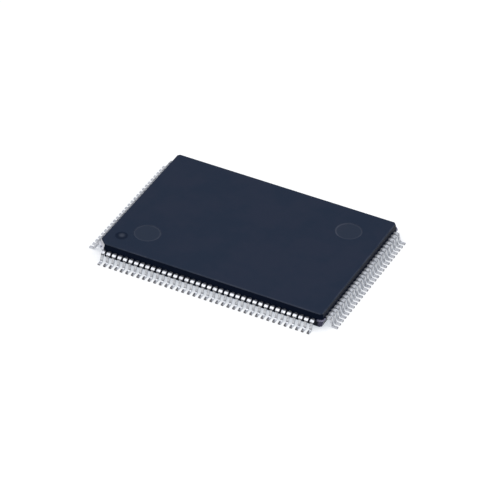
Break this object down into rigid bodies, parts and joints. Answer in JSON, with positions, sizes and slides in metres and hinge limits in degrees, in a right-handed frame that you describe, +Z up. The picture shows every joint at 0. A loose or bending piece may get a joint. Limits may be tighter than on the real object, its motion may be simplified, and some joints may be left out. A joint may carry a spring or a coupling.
{
  "type": "quad flat pack chip",
  "caption": "Low-profile quad flat pack: a thin rectangular moulded body with fine gull-wing leads along all four sides, for surface mounting.",
  "frame": {"origin": "centre of the package outline, on the seating plane that the lead feet stand on", "axes": "+X along the long sides, +Y along the short sides towards the back row of leads, +Z up through the body; lead 1 is beside the cut corner at -X -Y"},
  "size_m": [0.022, 0.016, 0.0014],
  "materials": {
    "mould_compound": "fine matt, dark blue-grey epoxy moulding compound",
    "plated_leads": "matt tin plate over copper alloy",
    "leadframe_alloy": "bare copper alloy with a silver spot plate under the die",
    "silver_adhesive": "silver-filled epoxy",
    "silicon": "polished, with passivated circuitry",
    "polyimide_tape": "amber film",
    "gold_wire": "bright drawn gold"
  },
  "bodies": {
    "root": {"moulded_body": "mould_compound", "leads_front": "plated_leads", "leads_right": "plated_leads", "leads_back": "plated_leads", "leads_left": "plated_leads", "die_pad": "leadframe_alloy", "die_attach": "silver_adhesive", "silicon_die": "silicon", "lead_lock_tape": "polyimide_tape", "bond_wires_front": "gold_wire", "bond_wires_right": "gold_wire", "bond_wires_back": "gold_wire", "bond_wires_left": "gold_wire"}
  },
  "joints": []
}
